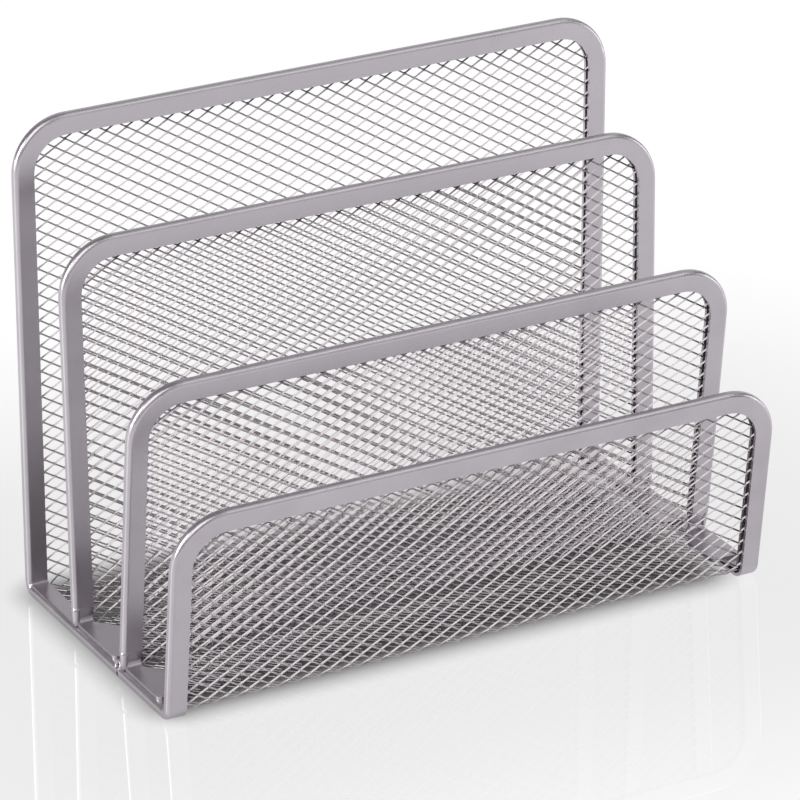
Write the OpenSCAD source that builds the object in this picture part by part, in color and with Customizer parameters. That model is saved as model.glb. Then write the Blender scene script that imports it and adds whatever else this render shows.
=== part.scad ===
// Desk letter sorter: one sheet of expanded steel mesh folded into a rear panel, a base and a front panel,
// with two mesh dividers stepping down between them, each turned forward at its foot into a flange on the base.
// Folded steel channel edges every panel.
// The sorter stands on Z = 0 with its front toward -Y, and its middle in width and depth is at X = 0, Y = 0.

/* [Overall] */
// Width over the edge channels
body_w = 175; // [120:1:300]
// Distance from the front panel to the short divider at the base
front_pitch = 25.5; // [20:0.5:40]
// Distance from the short divider to the tall one, and from that to the rear panel
panel_pitch = 28.5; // [20:0.5:40]
// Height of the rear panel's top edge above the table
rear_h = 133; // [100:1:200]
// Height of the tall divider's top edge
tall_h = 109; // [70:1:180]
// Height of the short divider's top edge
short_h = 84; // [60:1:150]
// Height of the front panel's top edge
front_h = 58.5; // [40:0.5:120]
// Degrees that the front panel leans toward the front
front_lean = 6.5; // [0:0.5:12]
// Degrees that the short divider leans toward the front
short_lean = 6; // [0:0.5:12]
// Degrees that the tall divider leans toward the rear
tall_lean = 1.3; // [0:0.1:6]

/* [Edge channel] */
// Width of the channel's flat face
trim_w = 5.5; // [4:0.1:8]
// Thickness over the folded channel
trim_t = 3; // [2.6:0.1:4]
// Steel thickness of the channel
trim_wall = 0.5; // [0.3:0.05:0.7]
// Depth of the folded lips at the channel's mouth
lip_d = 1.4; // [0.8:0.1:2.5]
// Clearance between the mesh and each lip
lip_gap = 0.2; // [0.1:0.05:0.3]
// Rounding of the channel's outer edges
trim_edge_r = 1.2; // [0.8:0.05:1.3]
// Outer radius of a panel's top corners
corner_r = 15; // [10:0.5:25]
// Radius of the folds at the front and rear of the base, at mid thickness
fold_r = 2.5; // [2.2:0.1:5]
// Width of the open seam where the ends of the outer channel meet
seam_w = 0.8; // [0.4:0.1:1.5]
// Depth of the open seam from the channel's outer edge
seam_d = 2; // [1:0.1:2.5]
// Distance from the seam back to the short divider's leg
seam_back = 1.6; // [0.5:0.1:3]

/* [Expanded mesh] */
// Thickness of the mesh
mesh_t = 0.8; // [0.4:0.1:1.2]
// Length of one diamond of the stock mesh, centre to centre
stock_long = 5.8; // [4:0.1:8]
// Height of one diamond of the stock mesh, centre to centre
stock_short = 3.6; // [2.5:0.1:5]
// Height of a strand of the stock mesh
stock_strand = 0.42; // [0.3:0.02:0.8]
// Length of the bond where two strands meet
stock_bond = 0.8; // [0.4:0.1:1.5]
// Times coarser than the stock mesh that the net is drawn
net_scale = 2.7; // [2.7:0.05:4]
// Clearance from the mesh's edge to the bottom of its channel
mesh_seat = 0.3; // [0.1:0.05:0.5]
// Distance that the open diamonds reach under the channel's lip
mesh_tuck = 0.6; // [0.2:0.1:1]
// Width of the uncut border along the folds and lower edges
mesh_border = 0.6; // [0.4:0.1:1]

/* [Divider feet] */
// Thickness of the channel pressed flat
foot_t = 1; // [0.7:0.1:1.4]
// Distance from the end of a foot to the panel in front of it
foot_end_gap = 6; // [5:0.5:8]
// Width of the foot where it is pressed flat
foot_w = 10; // [7:0.5:14]
// Length over which the foot widens
foot_flare = 5; // [3:0.5:7]
// Radius of the bend from leg to foot, at mid thickness
foot_bend_r = 2; // [1.5:0.1:3]
// Height over which the leg is pressed flat
crimp_h = 3; // [2:0.5:6]
// Step at the press line, where the leg laps the bend
press_step = 0.1; // [0.05:0.05:0.2]
// Rounding of the foot's free corners
foot_corner_r = 1.5; // [0.5:0.1:2]

/* [Hidden] */
$fn = 48;
CHANNEL = [0.70, 0.69, 0.72];
MESH = [0.60, 0.59, 0.62];
cut_over = 1;
corner_steps = 6;

// Degrees that each panel behind the front one tilts toward the rear
short_tilt = -short_lean;
tall_tilt = tall_lean;
rear_tilt = 0;

half_w = body_w / 2;
sheet_z = trim_t / 2;
fold_z = sheet_z + fold_r;
foot_z = trim_t + foot_t / 2 + foot_bend_r;
foot_out = half_w - trim_edge_r;
short_foot_l = front_pitch - foot_bend_r - foot_end_gap;
tall_foot_l = panel_pitch - foot_bend_r - foot_end_gap;
mouth_t = mesh_t + lip_gap + lip_gap;
mesh_in = trim_wall + mesh_seat;
mesh_half_w = half_w - mesh_in;
window_half_w = half_w - trim_w + mesh_tuck;
window_top_in = trim_w - mesh_tuck;
window_corner_r = corner_r - window_top_in;
notch_w = half_w - trim_w - mesh_seat;
notch_window_w = notch_w - mesh_border;
flange_w = half_w - foot_w - mesh_seat;
diamond_l = stock_long * net_scale;
diamond_h = stock_short * net_scale;
strand_h = stock_strand * net_scale;
bond_l = stock_bond * net_scale;
smallest_share = 0.12;
length_step = 0.001;

// Length of a panel from the end of its fold up to its top edge, and how far it reaches past its own foot
function panel_len(h, tilt, centre_z, r) =
    round((h - centre_z + r * sin(tilt)) / cos(tilt) / length_step) * length_step;
function reach(h, lean) =
    (panel_len(h, lean, fold_z, fold_r) - trim_edge_r) * sin(lean)
    + (fold_r + trim_t / 2 - trim_edge_r) * cos(lean) + trim_edge_r - fold_r;
front_reach = reach(front_h, front_lean);
rear_reach = reach(rear_h, rear_tilt);
depth = front_pitch + panel_pitch + panel_pitch + front_reach + rear_reach;
front_y = front_reach - depth / 2;
short_y = front_y + front_pitch;
tall_y = short_y + panel_pitch;
rear_y = tall_y + panel_pitch;
base_front_y = front_y + fold_r;
base_rear_y = rear_y - fold_r;

// The opening between strands: a diamond with its upper and lower points cut off by the bonds
function opening(x, y) =
    let (top = diamond_h / 2 - strand_h, tip = (diamond_l - bond_l) / 2, flat = bond_l / 2)
    [[x + tip, y], [x + flat, y + top], [x - flat, y + top],
     [x - tip, y], [x - flat, y - top], [x + flat, y - top]];

// The part of a convex outline on the inner side of one line, given as [normal x, normal y, distance]
function keep_inside(shape, line) =
    [for (i = [0 : len(shape) - 1])
        let (p = shape[i], q = shape[(i + 1) % len(shape)],
             dp = line[2] - line[0] * p[0] - line[1] * p[1],
             dq = line[2] - line[0] * q[0] - line[1] * q[1])
        each concat(dp >= 0 ? [p] : [], dp * dq < 0 ? [p + (q - p) * dp / (dp - dq)] : [])];
function keep_all(shape, lines, i = 0) =
    i == len(lines) || len(shape) < 3 ? shape : keep_all(keep_inside(shape, lines[i]), lines, i + 1);
function area(shape) =
    len(shape) < 3 ? 0
    : abs([for (i = [0 : len(shape) - 1])
              let (p = shape[i], q = shape[(i + 1) % len(shape)]) p[0] * q[1] - q[0] * p[1]]
          * [for (p = shape) 1]) / 2;

// Lines round a window with square lower corners and round upper ones; r = 0 leaves all four square
function window_lines(w, low, high, r) =
    concat([[1, 0, w], [-1, 0, w], [0, -1, -low], [0, 1, high]],
           r > 0 ? [for (side = [-1, 1], k = [0.5 : corner_steps])
                       let (a = 90 * k / corner_steps, n = [side * cos(a), sin(a)])
                       [n[0], n[1], n * [side * (w - r), high - r] + r]]
                 : []);
function net_openings(w, low, high, r) =
    let (lines = window_lines(w, low, high, r), whole = area(opening(0, 0)),
         columns = ceil(w / diamond_l) + 1,
         first_row = floor(low / diamond_h) - 1, last_row = ceil(high / diamond_h) + 1)
    [for (row = [2 * first_row : 2 * last_row], column = [-columns : columns])
        let (cell = keep_all(opening((column + (row % 2 == 0 ? 0 : 0.5)) * diamond_l,
                                     row * diamond_h / 2), lines))
        if (area(cell) > smallest_share * whole) cell];

// A flat net standing in the XZ plane, with its outline and openings drawn in X and Z
module net(outline, openings) {
    translate([0, mesh_t / 2, 0]) rotate([90, 0, 0]) linear_extrude(mesh_t) difference() {
        polygon(outline);
        for (o = openings) polygon(o);
    }
}

// Upper part of a panel's outline, with round top corners, from one side to the other
function arched_top(w, high, r) =
    [for (side = [1, -1], k = [0 : corner_steps])
        let (a = side > 0 ? 90 * k / corner_steps : 90 + 90 * k / corner_steps)
        [side * (w - r) + r * cos(a), high - r + r * sin(a)]];

// Mesh of a panel that folds into the base, from its fold up to the channel at its top
module folded_panel_net(h, tilt) {
    top = panel_len(h, tilt, fold_z, fold_r);
    outline = concat([[-mesh_half_w, 0], [mesh_half_w, 0]],
                     arched_top(mesh_half_w, top - mesh_in, corner_r - mesh_in));
    net(outline, net_openings(window_half_w, mesh_border, top - window_top_in, window_corner_r));
}

// Mesh of a divider, notched at its lower corners round the pressed legs
module divider_net(h, tilt) {
    top = panel_len(h, tilt, foot_z, foot_bend_r);
    notch_top = crimp_h + mesh_seat;
    outline = concat([[-mesh_half_w, notch_top], [-notch_w, notch_top], [-notch_w, 0],
                      [notch_w, 0], [notch_w, notch_top], [mesh_half_w, notch_top]],
                     arched_top(mesh_half_w, top - mesh_in, corner_r - mesh_in));
    net(outline, net_openings(notch_window_w, mesh_border, top - window_top_in,
                              corner_r - (half_w - notch_window_w)));
}

// Mesh of a divider's flange, between the foot plates, from its bend forward by the feet's length
module flange_net(l) {
    outline = [[-flange_w, -l], [flange_w, -l], [flange_w, -foot_flare], [notch_w, 0],
               [-notch_w, 0], [-flange_w, -foot_flare]];
    translate([0, 0, -foot_bend_r]) rotate([-90, 0, 0])
        net(outline, net_openings(flange_w - mesh_border, mesh_border - l, -mesh_border, 0));
}

// Turns a revolve so that it starts at the foot of a leg, at +Y, and goes round and down under it
module down_from_leg() {
    rotate([0, -90, 0]) rotate([0, 0, 90]) children();
}

// Mesh turned through a fold of radius r, open between the strands that run round it
module fold_net(turn, r, w, window_w) {
    pitch = diamond_l / 2;
    gap_w = pitch - bond_l;
    gap_d = r * turn * PI / 180 - 2 * mesh_border;
    last = floor((window_w - gap_w / 2) / pitch);
    down_from_leg() difference() {
        rotate_extrude(angle = turn) translate([r - mesh_t / 2, -w]) square([mesh_t, 2 * w]);
        for (i = [-last : last]) translate([0, 0, i * pitch]) rotate([0, 0, turn / 2])
            translate([0, -gap_d / 2, -gap_w / 2]) cube([r + cut_over, gap_d, gap_w]);
    }
}

// Cross-section of a flat bar with its two outer edges rounded, from its inner edge at 0
module bar_section(w, t, r) {
    translate([0, -t / 2]) square([w - r, t]);
    translate([0, r - t / 2]) square([w, t - 2 * r]);
    for (y = [r - t / 2, t / 2 - r]) translate([w - r, y]) circle(r);
}

// Cross-section of the folded channel, its mouth at 0 between the lips and its rounded edge at trim_w
module channel_section() {
    difference() {
        bar_section(trim_w, trim_t, trim_edge_r);
        translate([lip_d, 0])
            bar_section(trim_w - trim_wall - lip_d, trim_t - 2 * trim_wall, trim_edge_r - trim_wall);
        translate([-cut_over, -mouth_t / 2]) square([lip_d + 2 * cut_over, mouth_t]);
    }
}

module both_sides() {
    children();
    mirror([1, 0, 0]) children();
}

// Channel up both legs, round the corners and across the top, starting at height low
module channel_arch(low, top) {
    both_sides() {
        translate([half_w - trim_w, 0, low]) linear_extrude(top - corner_r - low) channel_section();
        translate([half_w - corner_r, 0, top - corner_r]) rotate([90, 0, 0])
            rotate_extrude(angle = 90) translate([corner_r - trim_w, 0]) channel_section();
    }
    translate([half_w - corner_r, 0, top - trim_w]) rotate([0, -90, 0])
        linear_extrude(body_w - 2 * corner_r) channel_section();
}

// Channel of a panel that folds into the base: a fold under each leg, and the arch
module folded_channel(h, tilt) {
    rotate([-tilt, 0, 0]) {
        both_sides() down_from_leg() rotate_extrude(angle = 90 - tilt)
            translate([fold_r, half_w - trim_w]) rotate([0, 0, 90]) channel_section();
        translate([0, fold_r, 0]) channel_arch(0, panel_len(h, tilt, fold_z, fold_r));
    }
}

// Foot plate seen from above: as wide as the leg at its bend, then flared inward over the base
module foot_plate(l) {
    leg_in = half_w - trim_w;
    flare_in = half_w - foot_w;
    linear_extrude(foot_t) difference() {
        polygon([[foot_out, 0], [leg_in, 0], [flare_in, -foot_flare], [flare_in, -l], [foot_out, -l]]);
        for (c = [[flare_in, 1], [foot_out, -1]])
            translate([c[0], -l]) corner_cut(foot_corner_r, c[1]);
    }
}

// What a corner rounding of radius r takes off, for a corner whose body lies toward side and +Y
module corner_cut(r, side) {
    difference() {
        translate([min(0, side * r) - (side > 0 ? cut_over : 0), -cut_over])
            square([r + cut_over, r + cut_over]);
        translate([side * r, r]) circle(r);
    }
}

// Leg pressed flat: it thins from the channel down to the press line, just over the foot's thickness
module crimp() {
    low_t = foot_t / 2 + press_step;
    translate([half_w - trim_w, 0, 0]) rotate([90, 0, 90]) linear_extrude(foot_out - half_w + trim_w)
        polygon([[-low_t, -press_step], [low_t, -press_step], [trim_t / 2, crimp_h],
                 [-trim_t / 2, crimp_h]]);
}

// Channel of a divider: feet of length l on the base channels, bends, pressed legs and the arch
module divider_channel(h, tilt, l) {
    both_sides() {
        translate([0, 0, -foot_bend_r - foot_t / 2]) foot_plate(l);
        rotate([0, 90, 0]) rotate_extrude(angle = 90 - tilt)
            translate([foot_bend_r - foot_t / 2, half_w - trim_w])
            square([foot_t, foot_out - half_w + trim_w]);
        rotate([-tilt, 0, 0]) translate([0, foot_bend_r, 0]) crimp();
    }
    rotate([-tilt, 0, 0]) translate([0, foot_bend_r, 0])
        channel_arch(crimp_h, panel_len(h, tilt, foot_z, foot_bend_r));
}

// Places a shape whose fold centre is at the origin, for a fold at the rear of the base
module at_rear_fold() {
    translate([0, base_rear_y, fold_z]) children();
}

module at_front_fold() {
    translate([0, base_front_y, fold_z]) mirror([0, 1, 0]) children();
}

module at_divider(y) {
    translate([0, y - foot_bend_r, foot_z]) children();
}

// Straight channel along the right side of the base
module base_channel() {
    translate([half_w - trim_w, base_rear_y, sheet_z]) rotate([90, 0, 0])
        linear_extrude(base_rear_y - base_front_y) channel_section();
}

module rear_mesh() {
    color(MESH) at_rear_fold() rotate([-rear_tilt, 0, 0]) translate([0, fold_r, 0])
        folded_panel_net(rear_h, rear_tilt);
}

module rear_fold_mesh() {
    color(MESH) at_rear_fold() rotate([-rear_tilt, 0, 0])
        fold_net(90 - rear_tilt, fold_r, mesh_half_w, window_half_w);
}

module base_mesh() {
    low = base_front_y;
    high = base_rear_y;
    outline = [[-mesh_half_w, low], [mesh_half_w, low], [mesh_half_w, high], [-mesh_half_w, high]];
    color(MESH) translate([0, 0, sheet_z]) rotate([-90, 0, 0])
        net(outline, net_openings(window_half_w, low + mesh_border, high - mesh_border, 0));
}

module front_fold_mesh() {
    color(MESH) at_front_fold() rotate([-front_lean, 0, 0])
        fold_net(90 - front_lean, fold_r, mesh_half_w, window_half_w);
}

module front_mesh() {
    color(MESH) at_front_fold() rotate([-front_lean, 0, 0]) translate([0, fold_r, 0])
        folded_panel_net(front_h, front_lean);
}

module rear_channel() {
    color(CHANNEL) at_rear_fold() folded_channel(rear_h, rear_tilt);
}

// The outer channel is one strip whose ends meet on the left side, just behind the short divider
module base_channel_left() {
    color(CHANNEL) difference() {
        mirror([1, 0, 0]) base_channel();
        translate([-half_w - cut_over, short_y + seam_back, -cut_over])
            cube([seam_d + cut_over, seam_w, trim_t + 2 * cut_over]);
    }
}

module base_channel_right() {
    color(CHANNEL) base_channel();
}

module front_channel() {
    color(CHANNEL) at_front_fold() folded_channel(front_h, front_lean);
}

module tall_divider_mesh() {
    color(MESH) at_divider(tall_y) rotate([-tall_tilt, 0, 0]) translate([0, foot_bend_r, 0])
        divider_net(tall_h, tall_tilt);
}

module tall_bend_mesh() {
    color(MESH) at_divider(tall_y) rotate([-tall_tilt, 0, 0])
        fold_net(90 - tall_tilt, foot_bend_r, notch_w, notch_window_w);
}

module tall_flange_mesh() {
    color(MESH) at_divider(tall_y) flange_net(tall_foot_l);
}

module tall_divider_channel() {
    color(CHANNEL) at_divider(tall_y) divider_channel(tall_h, tall_tilt, tall_foot_l);
}

module short_divider_mesh() {
    color(MESH) at_divider(short_y) rotate([-short_tilt, 0, 0]) translate([0, foot_bend_r, 0])
        divider_net(short_h, short_tilt);
}

module short_bend_mesh() {
    color(MESH) at_divider(short_y) rotate([-short_tilt, 0, 0])
        fold_net(90 - short_tilt, foot_bend_r, notch_w, notch_window_w);
}

module short_flange_mesh() {
    color(MESH) at_divider(short_y) flange_net(short_foot_l);
}

module short_divider_channel() {
    color(CHANNEL) at_divider(short_y) divider_channel(short_h, short_tilt, short_foot_l);
}

rear_mesh();
rear_fold_mesh();
base_mesh();
front_fold_mesh();
front_mesh();
rear_channel();
base_channel_left();
base_channel_right();
front_channel();
tall_divider_mesh();
tall_bend_mesh();
tall_flange_mesh();
tall_divider_channel();
short_divider_mesh();
short_bend_mesh();
short_flange_mesh();
short_divider_channel();
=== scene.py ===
import math

import bpy
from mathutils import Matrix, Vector


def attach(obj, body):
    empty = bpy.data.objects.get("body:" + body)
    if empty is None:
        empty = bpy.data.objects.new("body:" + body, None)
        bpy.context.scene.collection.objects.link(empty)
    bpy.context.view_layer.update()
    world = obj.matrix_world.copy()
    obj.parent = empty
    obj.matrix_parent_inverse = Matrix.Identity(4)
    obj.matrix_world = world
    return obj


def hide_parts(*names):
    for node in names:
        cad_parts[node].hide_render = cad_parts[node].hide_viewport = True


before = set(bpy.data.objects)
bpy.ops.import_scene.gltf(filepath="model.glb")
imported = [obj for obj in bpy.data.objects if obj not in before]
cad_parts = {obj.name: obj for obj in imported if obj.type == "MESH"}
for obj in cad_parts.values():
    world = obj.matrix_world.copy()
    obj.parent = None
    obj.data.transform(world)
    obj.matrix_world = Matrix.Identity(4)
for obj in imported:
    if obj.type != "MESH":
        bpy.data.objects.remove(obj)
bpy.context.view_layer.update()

MM = 0.001

# Sizes of the sorter in millimetres, as in the CAD source
WIDTH, CHANNEL_W, CHANNEL_T = 175.0, 5.5, 3.0
CORNER_R, FOLD_R, BEND_R = 15.0, 2.5, 2.0
FOLD_Z, BEND_Z = 4.0, 5.5
HALF_W = WIDTH / 2
LEG_IN = HALF_W - CHANNEL_W
NET_IN = 0.8
REAR_Y, TALL_Y, SHORT_Y, FRONT_Y = 44.29392, 15.79392, -12.70608, -38.20608
REAR_H, TALL_H, SHORT_H, FRONT_H = 133.0, 109.0, 84.0, 58.5
TALL_TILT, SHORT_TILT, FRONT_LEAN = 1.3, -6.0, 6.5
FOOT_W, FOOT_FLARE, PRESS_H = 10.0, 5.0, 3.0
RAIL_H, SEAM_Y = 3.0, -10.706
SHORT_FOOT_L, TALL_FOOT_L = 17.5, 20.5

# Expanded mesh: pitches, strand width and thickness, bond length, how far the middles of two
# strands stay apart where they meet, and the tilt of the strands' flats
LONG, SHORT = 5.8, 3.6
STRAND_W, STRAND_T, BOND, MEET = 0.45, 0.28, 0.50, 0.34
FLAT_TILT = math.radians(46)
# Every other ribbon lies this much further out, so that two never share a face at a bond
LAYER = 0.012
# How far a divider's net stays clear of its pressed legs and feet
LEG_GAP = 0.3
# The shortest piece of ribbon that is kept, and the halvings that find where a ribbon ends
SHORTEST_RUN, CUT_STEPS = 0.5, 12

# Outer side of a divider's leg: how deep it is drawn, its rounding, the flat that is left beside
# that, and its sections downward as height over the bend's centre, half thickness and inset
SIDE_DEPTH, SIDE_EDGE_R, SIDE_EDGE_STEPS, SIDE_FLAT = 1.6, 1.2, 5, 0.02
SIDE_SECTIONS = ((3.3, CHANNEL_T / 2, 0.0), (1.6, 1.4, 0.02), (-0.6, 1.2, 0.08),
                 (-1.7, 1.0, 0.2), (-2.35, 0.75, 0.5))

# Seam eyelet: radius of its ring and of the ring's own section, lean outward, and how far it lies
# from the sorter's side, from the seam and from the rail's top
LIP_R, LIP_SECTION_R, LIP_LEAN = 1.2, 0.55, math.radians(18)
LIP_IN, LIP_BESIDE, LIP_RISE = 0.03, 0.85, 0.1
LIP_TURNS, LIP_SIDES = 24, 10
# The near-black disc, painted shade in the hole, is this much smaller than the ring, and this far
# behind its middle
HOLE_INSET = 0.1


# The paths of the sheets

class Sheet:
    """A bent sheet's middle line in the YZ plane, made of stretches from its first top edge."""

    def __init__(self):
        self.stretches = []
        self.length = 0.0

    def add(self, length, at):
        """Adds a stretch: at(t, n) is its (y, z) at t along it and n out from its middle."""
        self.stretches.append((self.length, length, at))
        self.length += length

    def line(self, start, step, normal, length):
        self.add(length, lambda t, n: (start[0] + step[0] * t + normal[0] * n,
                                       start[1] + step[1] * t + normal[1] * n))

    def arc(self, centre, radius, start, sweep):
        length = radius * abs(sweep)

        def at(t, n):
            turn = start + sweep * t / length
            return (centre[0] + (radius + n) * math.cos(turn),
                    centre[1] + (radius + n) * math.sin(turn))
        self.add(length, at)

    def place(self, x, q, n):
        """The point at width x, q along the whole path and n out from its middle."""
        for begin, length, at in self.stretches:
            if q <= begin + length:
                break
        return (x, *at(q - begin, n))


def panel_length(height, tilt, centre_z, radius):
    """Length of a leaning panel, from its top edge to the bend under it."""
    return (height - centre_z + radius * math.sin(tilt)) / math.cos(tilt)


def start_panel(sheet, y, height, tilt, centre_z, radius):
    """Down a panel that leans to the rear by tilt, then round the bend under it to the front."""
    length = panel_length(height, tilt, centre_z, radius)
    up, out = (math.sin(tilt), math.cos(tilt)), (math.cos(tilt), -math.sin(tilt))
    centre = (y - radius, centre_z)
    foot = (centre[0] + out[0] * radius, centre[1] + out[1] * radius)
    top = (foot[0] + up[0] * length, foot[1] + up[1] * length)
    sheet.line(top, (-up[0], -up[1]), out, length)
    sheet.arc(centre, radius, -tilt, -(math.pi / 2 - tilt))
    return length


def folded_sheet():
    """Rear panel, base and leaning front panel in one sheet."""
    sheet = Sheet()
    start_panel(sheet, REAR_Y, REAR_H, 0.0, FOLD_Z, FOLD_R)
    lean = math.radians(FRONT_LEAN)
    rear, front = REAR_Y - FOLD_R, FRONT_Y + FOLD_R
    sheet.line((rear, FOLD_Z - FOLD_R), (-1, 0), (0, -1), rear - front)
    sheet.arc((front, FOLD_Z), FOLD_R, -math.pi / 2, -(math.pi / 2 - lean))
    length = panel_length(FRONT_H, lean, FOLD_Z, FOLD_R)
    sheet.line((front - FOLD_R * math.cos(lean), FOLD_Z - FOLD_R * math.sin(lean)),
               (-math.sin(lean), math.cos(lean)), (-math.cos(lean), -math.sin(lean)), length)
    return sheet


def divider_sheet(y, height, tilt, foot_l):
    """A divider's panel and its flange; also where the panel and its bend end along the path."""
    sheet = Sheet()
    leg = start_panel(sheet, y, height, math.radians(tilt), BEND_Z, BEND_R)
    flange = sheet.length
    sheet.line((y - BEND_R, BEND_Z - BEND_R), (-1, 0), (0, -1), foot_l)
    return sheet, leg, flange


# The outlines of the nets

def round_end(x, d):
    """Whether a point at distance d from a panel's top edge lies within its round corners."""
    across = abs(x) - (HALF_W - CORNER_R)
    if d >= CORNER_R or across <= 0:
        return True
    return across ** 2 + (CORNER_R - d) ** 2 <= (CORNER_R - NET_IN) ** 2


def inside_folded(sheet):
    """The net ends inside the channel all round, with round corners at both top edges."""
    def inside(x, q):
        if abs(x) > HALF_W - NET_IN or q < NET_IN or q > sheet.length - NET_IN:
            return False
        return round_end(x, q) and round_end(x, sheet.length - q)
    return inside


def inside_divider(sheet, leg, flange):
    """The net ends at the pressed legs, and its flange is notched for the feet that widen."""
    def inside(x, q):
        if abs(x) > HALF_W - NET_IN or q < NET_IN or q > sheet.length:
            return False
        if q > leg - PRESS_H - LEG_GAP and abs(x) > LEG_IN - LEG_GAP:
            return False
        if q > flange:
            widening = min((q - flange) / FOOT_FLARE, 1.0) * (FOOT_W - CHANNEL_W)
            if abs(x) > LEG_IN - LEG_GAP - widening:
                return False
        return round_end(x, q)
    return inside


def build_mesh(name, verts, faces, smooth):
    """An object from vertices in millimetres; only four-sided faces are shaded smooth."""
    mesh = bpy.data.meshes.new(name)
    mesh.from_pydata([(x * MM, y * MM, z * MM) for x, y, z in verts], [], faces)
    mesh.polygons.foreach_set("use_smooth", [smooth and len(f) == 4 for f in faces])
    mesh.update()
    ob = bpy.data.objects.new(name, mesh)
    bpy.context.scene.collection.objects.link(ob)
    return ob


def tube_faces(base, stations, count):
    """The side faces between rings of count vertices that follow each other from base on."""
    return [(base + k * count + j, base + k * count + (j + 1) % count,
             base + (k + 1) * count + (j + 1) % count, base + (k + 1) * count + j)
            for k in range(stations - 1) for j in range(count)]


# Expanded mesh

def clip_run(points, inside):
    """Cuts a polyline of (x, q, n) to the parts that lie inside, as a list of polylines."""
    runs, run = [], []
    for a, b in zip(points, points[1:]):
        a_in, b_in = inside(a[0], a[1]), inside(b[0], b[1])
        if a_in and not run:
            run = [a]
        if a_in and b_in:
            run.append(b)
        elif a_in != b_in:
            near, far = (a, b) if a_in else (b, a)
            for _ in range(CUT_STEPS):
                middle = tuple((u + v) / 2 for u, v in zip(near, far))
                if inside(middle[0], middle[1]):
                    near = middle
                else:
                    far = middle
            if a_in:
                runs.append(run + [near])
                run = []
            else:
                run = [near, b]
    if len(run) > 1:
        runs.append(run)
    return [r for r in runs if abs(r[-1][0] - r[0][0]) > SHORTEST_RUN]


def strand_ring(lift):
    """Corners of a ribbon's section in the plane of path and normal: a sheared flat bar."""
    half_w, half_t = STRAND_W / 2, STRAND_T / 2
    corners = [(half_w, half_t + lift), (-half_w, half_t + lift),
               (-half_w, lift - half_t), (half_w, lift - half_t)]
    c, s = math.cos(FLAT_TILT), math.sin(FLAT_TILT)
    return [(a * c + b * s, -a * s + b * c) for a, b in corners]


def expanded_net(name, sheet, inside, first_q, shift_x=0.0):
    """Expanded metal as it is made: ribbons that zigzag and meet their neighbours at the bonds."""
    rings = (strand_ring(0.0), strand_ring(LAYER))
    count = len(rings[0])
    verts, faces = [], []
    swing = SHORT / 4 - MEET / 2 * math.cos(FLAT_TILT)
    step_n = MEET / 2 * math.sin(FLAT_TILT)
    # A few rows and columns more than the sheet holds, so that clipping alone makes the edges
    rows = int(sheet.length / (SHORT / 2)) + 3
    columns = int(HALF_W / LONG) + 2
    for row in range(-2, rows):
        middle, ring = first_q + row * SHORT / 2, rings[row % 2]
        points = []
        for half in range(-2 * columns, 2 * columns + 1):
            x = half * LONG / 2 + shift_x
            high = (half + row) % 2 == 0
            q, n = (middle + swing, step_n) if high else (middle - swing, -step_n)
            points += [(x - BOND / 2, q, n), (x + BOND / 2, q, n)]
        for run in clip_run(points, inside):
            base = len(verts)
            for x, q, n in run:
                verts += [sheet.place(x, q + dq, n + dn) for dq, dn in ring]
            last = len(verts) - count
            faces += tube_faces(base, len(run), count)
            faces.append(tuple(base + j for j in reversed(range(count))))
            faces.append(tuple(last + j for j in range(count)))
    return build_mesh(name, verts, faces, False)


# Leg ends and seam

def leg_end_ring(half_t, outer):
    """Section of a channel's outer side as (x, depth): square to the leg, rounded outward."""
    inner, edge_r = HALF_W - SIDE_DEPTH, min(SIDE_EDGE_R, half_t - SIDE_FLAT)
    points = [(inner, -half_t)]
    for side, begin in ((-1, -math.pi / 2), (1, 0.0)):
        for k in range(SIDE_EDGE_STEPS + 1):
            turn = begin + math.pi / 2 * k / SIDE_EDGE_STEPS
            points.append((outer - edge_r + edge_r * math.cos(turn),
                           side * (half_t - edge_r) + edge_r * math.sin(turn)))
    return points + [(inner, half_t)]


def leg_ends(name, y, tilt):
    """The outer sides of a divider's legs, drawn down past the pressed part to the base."""
    c, s = math.cos(math.radians(tilt)), math.sin(math.radians(tilt))
    verts, faces = [], []
    stations = len(SIDE_SECTIONS)
    for side in (1, -1):
        base = len(verts)
        for height, half_t, inset in SIDE_SECTIONS:
            for x, depth in leg_end_ring(half_t, HALF_W - inset):
                out = depth + BEND_R
                verts.append((side * x, y - BEND_R + out * c + height * s,
                              BEND_Z - out * s + height * c))
        count = (len(verts) - base) // stations
        faces += [face[::side] for face in tube_faces(base, stations, count)]
        faces.append(tuple(range(base, base + count))[::-side])
        faces.append(tuple(range(len(verts) - count, len(verts)))[::side])
    return build_mesh(name, verts, faces, True)


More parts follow.
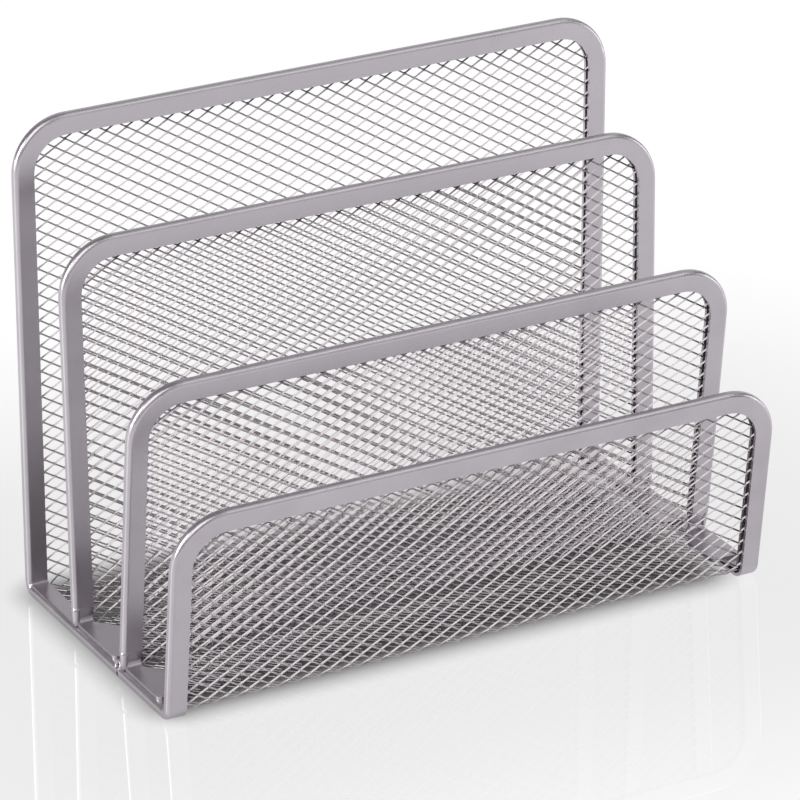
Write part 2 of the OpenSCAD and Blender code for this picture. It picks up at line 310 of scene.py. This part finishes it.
def seam_eyelet(name):
    """Raised round lip where the two ends of the outer channel meet, with a near-black disc in it
    as painted shade of the hollow.
    """
    along = Vector((0, 1, 0))
    across = Vector((math.sin(LIP_LEAN), 0.0, math.cos(LIP_LEAN)))
    out = Vector((-math.cos(LIP_LEAN), 0.0, math.sin(LIP_LEAN)))
    centre = Vector((-HALF_W + LIP_R * math.sin(LIP_LEAN) + LIP_SECTION_R + LIP_IN,
                     SEAM_Y + LIP_BESIDE, RAIL_H + LIP_RISE))
    spokes = []
    for i in range(LIP_TURNS):
        turn = 2 * math.pi * i / LIP_TURNS
        spokes.append(across * math.cos(turn) + along * math.sin(turn))
    verts, faces = [], []
    for i, spoke in enumerate(spokes):
        ring, after = i * LIP_SIDES, (i + 1) % LIP_TURNS * LIP_SIDES
        for j in range(LIP_SIDES):
            turn, k = 2 * math.pi * j / LIP_SIDES, (j + 1) % LIP_SIDES
            verts.append(centre + spoke * (LIP_R + LIP_SECTION_R * math.cos(turn))
                         + out * LIP_SECTION_R * math.sin(turn))
            faces.append((ring + j, after + j, after + k, ring + k))
    hole = len(verts)
    verts += [centre + spoke * (LIP_R - HOLE_INSET) - out * HOLE_INSET for spoke in spokes]
    faces.append(tuple(range(hole, hole + LIP_TURNS)))
    lip = build_mesh(name, verts, faces, True)
    # The disc takes the second material: near-black, painted shade inside the hole
    lip.data.polygons[len(faces) - 1].material_index = 1
    return lip


# Materials

class Nodes:
    """Adds and joins the shader nodes of a new material or world."""

    def __init__(self, owner):
        owner.use_nodes = True
        self.tree = owner.node_tree
        self.tree.nodes.clear()

    def add(self, kind, sockets=None, **settings):
        """A node with its settings, and with the sockets that are given by name or number."""
        node = self.tree.nodes.new(kind)
        for key, value in settings.items():
            setattr(node, key, value)
        for key, value in (sockets or {}).items():
            node.inputs[key].default_value = value
        return node

    def join(self, source, output, target, socket):
        self.tree.links.new(source.outputs[output], target.inputs[socket])


def ramp(node, positions, tones):
    """Gives a colour ramp these tones at these positions, in place of its own two."""
    elements = node.color_ramp.elements
    while len(elements) > 1:
        elements.remove(elements[0])
    elements[0].position, elements[0].color = positions[0], (*tones[0], 1)
    for position, tone in zip(positions[1:], tones[1:]):
        elements.new(position).color = (*tone, 1)


def lacquer(name, tones, roughness, tone_scale, bump):
    """Lacquer on steel: slow changes of tone, fine flake, uneven gloss, faint orange peel."""
    material = bpy.data.materials.new(name)
    m = Nodes(material)
    out = m.add("ShaderNodeOutputMaterial")
    skin = m.add("ShaderNodeBsdfPrincipled", {"Metallic": 0.9, "IOR": 1.5})
    place = m.add("ShaderNodeTexCoord")
    tone = m.add("ShaderNodeTexNoise", {"Scale": tone_scale, "Detail": 4.0, "Roughness": 0.6})
    flake = m.add("ShaderNodeTexNoise", {"Scale": 5200.0, "Detail": 2.0, "Roughness": 0.7})
    peel = m.add("ShaderNodeTexNoise", {"Scale": 1400.0, "Detail": 3.0})
    mix = m.add("ShaderNodeMix", {"Factor": 0.2}, data_type="FLOAT")
    colour = m.add("ShaderNodeValToRGB")
    ramp(colour, (0.3, 0.52, 0.74), tones)
    gloss = m.add("ShaderNodeMapRange", {"From Min": 0.3, "From Max": 0.7,
                                         "To Min": roughness[0], "To Max": roughness[1]})
    dent = m.add("ShaderNodeBump", {"Strength": bump, "Distance": 0.00004})
    for noise in (tone, flake, peel):
        m.join(place, "Object", noise, "Vector")
    m.join(tone, "Fac", mix, "A")
    m.join(flake, "Fac", mix, "B")
    m.join(mix, "Result", colour, "Fac")
    m.join(colour, "Color", skin, "Base Color")
    m.join(tone, "Fac", gloss, "Value")
    m.join(gloss, "Result", skin, "Roughness")
    m.join(peel, "Fac", dent, "Height")
    m.join(dent, "Normal", skin, "Normal")
    m.join(skin, "BSDF", out, "Surface")
    return material


channel_paint = lacquer("silver_channel_lacquer",
                        ((0.45, 0.422, 0.455), (0.50, 0.469, 0.504), (0.545, 0.513, 0.55)),
                        roughness=(0.27, 0.37), tone_scale=60.0, bump=0.18)
net_paint = lacquer("silver_mesh_lacquer",
                    ((0.39, 0.361, 0.38), (0.468, 0.439, 0.459), (0.545, 0.517, 0.537)),
                    roughness=(0.30, 0.43), tone_scale=500.0, bump=0.15)
# Near-black and rough: painted shade for the disc in the seam eyelet's hole
painted_hole_shade = lacquer("painted_seam_hole_shade",
                    ((0.010, 0.009, 0.009), (0.018, 0.016, 0.016), (0.03, 0.026, 0.025)),
                    roughness=(0.6, 0.8), tone_scale=900.0, bump=0.3)

# The pieces: the last numbers shift each net's diamonds along its path and across
net = folded_sheet()
folded_net = expanded_net("folded_net", net, inside_folded(net), 0.9)
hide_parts("rear_mesh", "rear_fold_mesh", "base_mesh", "front_fold_mesh", "front_mesh")

tall, tall_leg, tall_flange = divider_sheet(TALL_Y, TALL_H, TALL_TILT, TALL_FOOT_L)
tall_net = expanded_net("tall_divider_net", tall, inside_divider(tall, tall_leg, tall_flange),
                        0.4, 1.1)
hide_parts("tall_divider_mesh", "tall_bend_mesh", "tall_flange_mesh")

short, short_leg, short_flange = divider_sheet(SHORT_Y, SHORT_H, SHORT_TILT, SHORT_FOOT_L)
short_net = expanded_net("short_divider_net", short, inside_divider(short, short_leg, short_flange),
                         0.6, -0.8)
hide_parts("short_divider_mesh", "short_bend_mesh", "short_flange_mesh")

for piece in (folded_net, tall_net, short_net):
    piece.data.materials.append(net_paint)
    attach(piece, "root")

eyelet = seam_eyelet("seam_eyelet")
for piece in (leg_ends("tall_leg_ends", TALL_Y, TALL_TILT),
              leg_ends("short_leg_ends", SHORT_Y, SHORT_TILT), eyelet):
    piece.data.materials.append(channel_paint)
    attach(piece, "root")
eyelet.data.materials.append(painted_hole_shade)

for name in ("rear_channel", "base_channel_left", "base_channel_right", "front_channel",
             "tall_divider_channel", "short_divider_channel"):
    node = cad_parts[name]
    node.data.materials.clear()
    node.data.materials.append(channel_paint)


# Floor

def pale_floor():
    """Dark under the sorter: a painted contact shadow, which also takes the real shadows. Around it
    the camera and the metal see a white with a sharp sheen, painted darker near the sorter as
    shade, and the other rays still meet the dark floor."""
    material = bpy.data.materials.new("pale_floor")
    m = Nodes(material)
    out = m.add("ShaderNodeOutputMaterial")
    # Dark floor colour: painted shade under the sorter, which deepens its contact shadow and the
    # mesh's cells
    painted_shade_grey = m.add("ShaderNodeBsdfPrincipled", {"Base Color": (0.17, 0.17, 0.17, 1),
                                              "Roughness": 0.09, "Specular IOR Level": 0.2})
    white = m.add("ShaderNodeEmission")
    sheen = m.add("ShaderNodeBsdfGlossy", {"Roughness": 0.0, "Color": (0.12, 0.12, 0.12, 1)})
    shine = m.add("ShaderNodeAddShader")
    # The distance in metres from a box under the sorter fades the painted shadow out, then lifts
    # the white from a painted darker shade near the sorter to full white
    centre, shade_box_half_size = (-0.004, 0.0058, 0.0), (0.0755, 0.0342, 0.0)
    place = m.add("ShaderNodeTexCoord")
    centred = m.add("ShaderNodeVectorMath", {1: centre}, operation="SUBTRACT")
    mirrored = m.add("ShaderNodeVectorMath", operation="ABSOLUTE")
    beyond = m.add("ShaderNodeVectorMath", {1: shade_box_half_size}, operation="SUBTRACT")
    outside = m.add("ShaderNodeVectorMath", operation="MAXIMUM")
    reach = m.add("ShaderNodeVectorMath", operation="LENGTH")
    # Painted contact shadow: how fast the dark floor gives way to the white beyond the box
    painted_shade_fade = m.add("ShaderNodeMapRange", {"From Min": 0.0, "From Max": 0.017},
                 interpolation_type="SMOOTHSTEP")
    # Painted shade: the white glows at 0.81 near the sorter and rises to full white 0.2 m away
    painted_shade_level = m.add("ShaderNodeMapRange", {"From Min": 0.02, "From Max": 0.20, "To Min": 0.81,
                                         "To Max": 1.0}, interpolation_type="SMOOTHSTEP")
    rays = m.add("ShaderNodeLightPath")
    seen = m.add("ShaderNodeMath", operation="MAXIMUM")
    gate = m.add("ShaderNodeMath", operation="MULTIPLY")
    blend = m.add("ShaderNodeMixShader")
    m.join(place, "Object", centred, 0)
    m.join(centred, "Vector", mirrored, 0)
    m.join(mirrored, "Vector", beyond, 0)
    m.join(beyond, "Vector", outside, 0)
    m.join(outside, "Vector", reach, 0)
    m.join(reach, "Value", painted_shade_fade, "Value")
    m.join(reach, "Value", painted_shade_level, "Value")
    m.join(painted_shade_level, "Result", white, "Strength")
    m.join(rays, "Is Camera Ray", seen, 0)
    m.join(rays, "Is Glossy Ray", seen, 1)
    m.join(painted_shade_fade, "Result", gate, 0)
    m.join(seen, "Value", gate, 1)
    m.join(gate, "Value", blend, "Fac")
    m.join(white, "Emission", shine, 0)
    m.join(sheen, "BSDF", shine, 1)
    m.join(painted_shade_grey, "BSDF", blend, 1)
    m.join(shine, "Shader", blend, 2)
    m.join(blend, "Shader", out, "Surface")
    return material


FLOOR_HALF = 6.0
floor_mesh = bpy.data.meshes.new("floor")
floor_mesh.from_pydata([(-FLOOR_HALF, -FLOOR_HALF, 0), (FLOOR_HALF, -FLOOR_HALF, 0),
                        (FLOOR_HALF, FLOOR_HALF, 0), (-FLOOR_HALF, FLOOR_HALF, 0)],
                       [], [(0, 1, 2, 3)])
floor = bpy.data.objects.new("floor", floor_mesh)
bpy.context.scene.collection.objects.link(floor)
floor_mesh.materials.append(pale_floor())


# Light

def fill_world(world):
    """White for the camera; metal sees that white behind the object and a dim studio elsewhere."""
    w = Nodes(world)
    out = w.add("ShaderNodeOutputWorld")
    blend = w.add("ShaderNodeMixShader")
    dim = w.add("ShaderNodeBackground", {"Color": (0.97, 0.98, 1.0, 1), "Strength": 0.18})
    white = w.add("ShaderNodeBackground", {"Color": (1, 1, 1, 1), "Strength": 1.0})
    rays = w.add("ShaderNodeLightPath")
    # How far a direction turns to the white side, and how much of the white it gets
    white_side = (0.48, 0.88, 0.0)
    place = w.add("ShaderNodeTexCoord")
    side = w.add("ShaderNodeVectorMath", {1: white_side}, operation="DOT_PRODUCT")
    back = w.add("ShaderNodeMapRange", {"From Min": 0.6, "From Max": 0.9, "To Max": 0.757},
                 interpolation_type="SMOOTHSTEP")
    # Only the lacquer's soft gloss sees this white; the floor's sharp sheen sees the dim studio
    soft = w.add("ShaderNodeMath", operation="SUBTRACT")
    in_metal = w.add("ShaderNodeMath", operation="MULTIPLY")
    direct = w.add("ShaderNodeMath", operation="MAXIMUM")
    any_white = w.add("ShaderNodeMath", operation="MAXIMUM")
    w.join(place, "Generated", side, 0)
    w.join(side, "Value", back, "Value")
    w.join(rays, "Is Glossy Ray", soft, 0)
    w.join(rays, "Is Singular Ray", soft, 1)
    w.join(soft, "Value", in_metal, 0)
    w.join(back, "Result", in_metal, 1)
    w.join(rays, "Is Camera Ray", direct, 0)
    w.join(rays, "Is Transmission Ray", direct, 1)
    w.join(direct, "Value", any_white, 0)
    w.join(in_metal, "Value", any_white, 1)
    w.join(any_white, "Value", blend, "Fac")
    w.join(dim, "Background", blend, 1)
    w.join(white, "Background", blend, 2)
    w.join(blend, "Shader", out, "Surface")


studio = bpy.data.worlds.new("studio")
bpy.context.scene.world = studio
fill_world(studio)


def lamp(name, place, target, size, watts, color=(1, 1, 1)):
    """A square soft light at a place in metres, turned toward a target."""
    data = bpy.data.lights.new(name, "AREA")
    data.shape, data.size, data.energy, data.color = "SQUARE", size, watts, color
    ob = bpy.data.objects.new(name, data)
    ob.location = place
    ob.rotation_euler = (Vector(target) - Vector(place)).to_track_quat("-Z", "Y").to_euler()
    bpy.context.scene.collection.objects.link(ob)


lamp("key", (-0.60, -0.47, 0.85), (0, 0, 0.05), 1.0, 6.5, (1.0, 0.985, 0.97))
lamp("front", (0.48, -0.53, 0.89), (0, 0, 0.05), 0.6, 1.5)
# The top lamp stands to the side, so that its square doesn't show in the floor from above
lamp("top", (0.68, 0.10, 1.15), (0, 0, 0.05), 0.7, 1.2)
lamp("fill", (0.35, -1.20, 0.50), (0, 0, 0.05), 0.8, 1.3)
# Low lamps: the left one lights the legs' edges, the right one the strands that fall to the right
lamp("left", (-0.75, 0.15, 0.30), (-0.12, 0.0, 0.0), 0.45, 4.0)
lamp("right", (1.0, -0.30, 0.25), (0, 0, 0.03), 0.5, 1.8)

# The camera stands where the photograph's perspective puts it: the point it turns round, its
# distance from there, its focal length in pixels, and how far it is moved right and down
AZIMUTH, ELEVATION, DISTANCE = math.radians(28.69), math.radians(24.29), 1.300
PIVOT, MOVE_RIGHT, MOVE_DOWN = (0, 0.040, 0.060), 0.01960, 0.01931
SENSOR, FOCAL_PX, PICTURE_PX = 36.0, 4892, 800
ahead = Vector((math.sin(AZIMUTH) * math.cos(ELEVATION), math.cos(AZIMUTH) * math.cos(ELEVATION),
                -math.sin(ELEVATION)))
right = Vector((math.cos(AZIMUTH), -math.sin(AZIMUTH), 0))
above = right.cross(ahead)
camera = bpy.data.cameras.new("camera")
camera.sensor_width, camera.lens = SENSOR, FOCAL_PX * SENSOR / PICTURE_PX
camera.clip_start, camera.clip_end = 0.05, 30.0
viewer = bpy.data.objects.new("camera", camera)
viewer.location = Vector(PIVOT) - ahead * DISTANCE + right * MOVE_RIGHT - above * MOVE_DOWN
viewer.rotation_euler = ahead.to_track_quat("-Z", "Y").to_euler()
bpy.context.scene.collection.objects.link(viewer)
bpy.context.scene.camera = viewer
bpy.context.scene.view_settings.view_transform = "Standard"
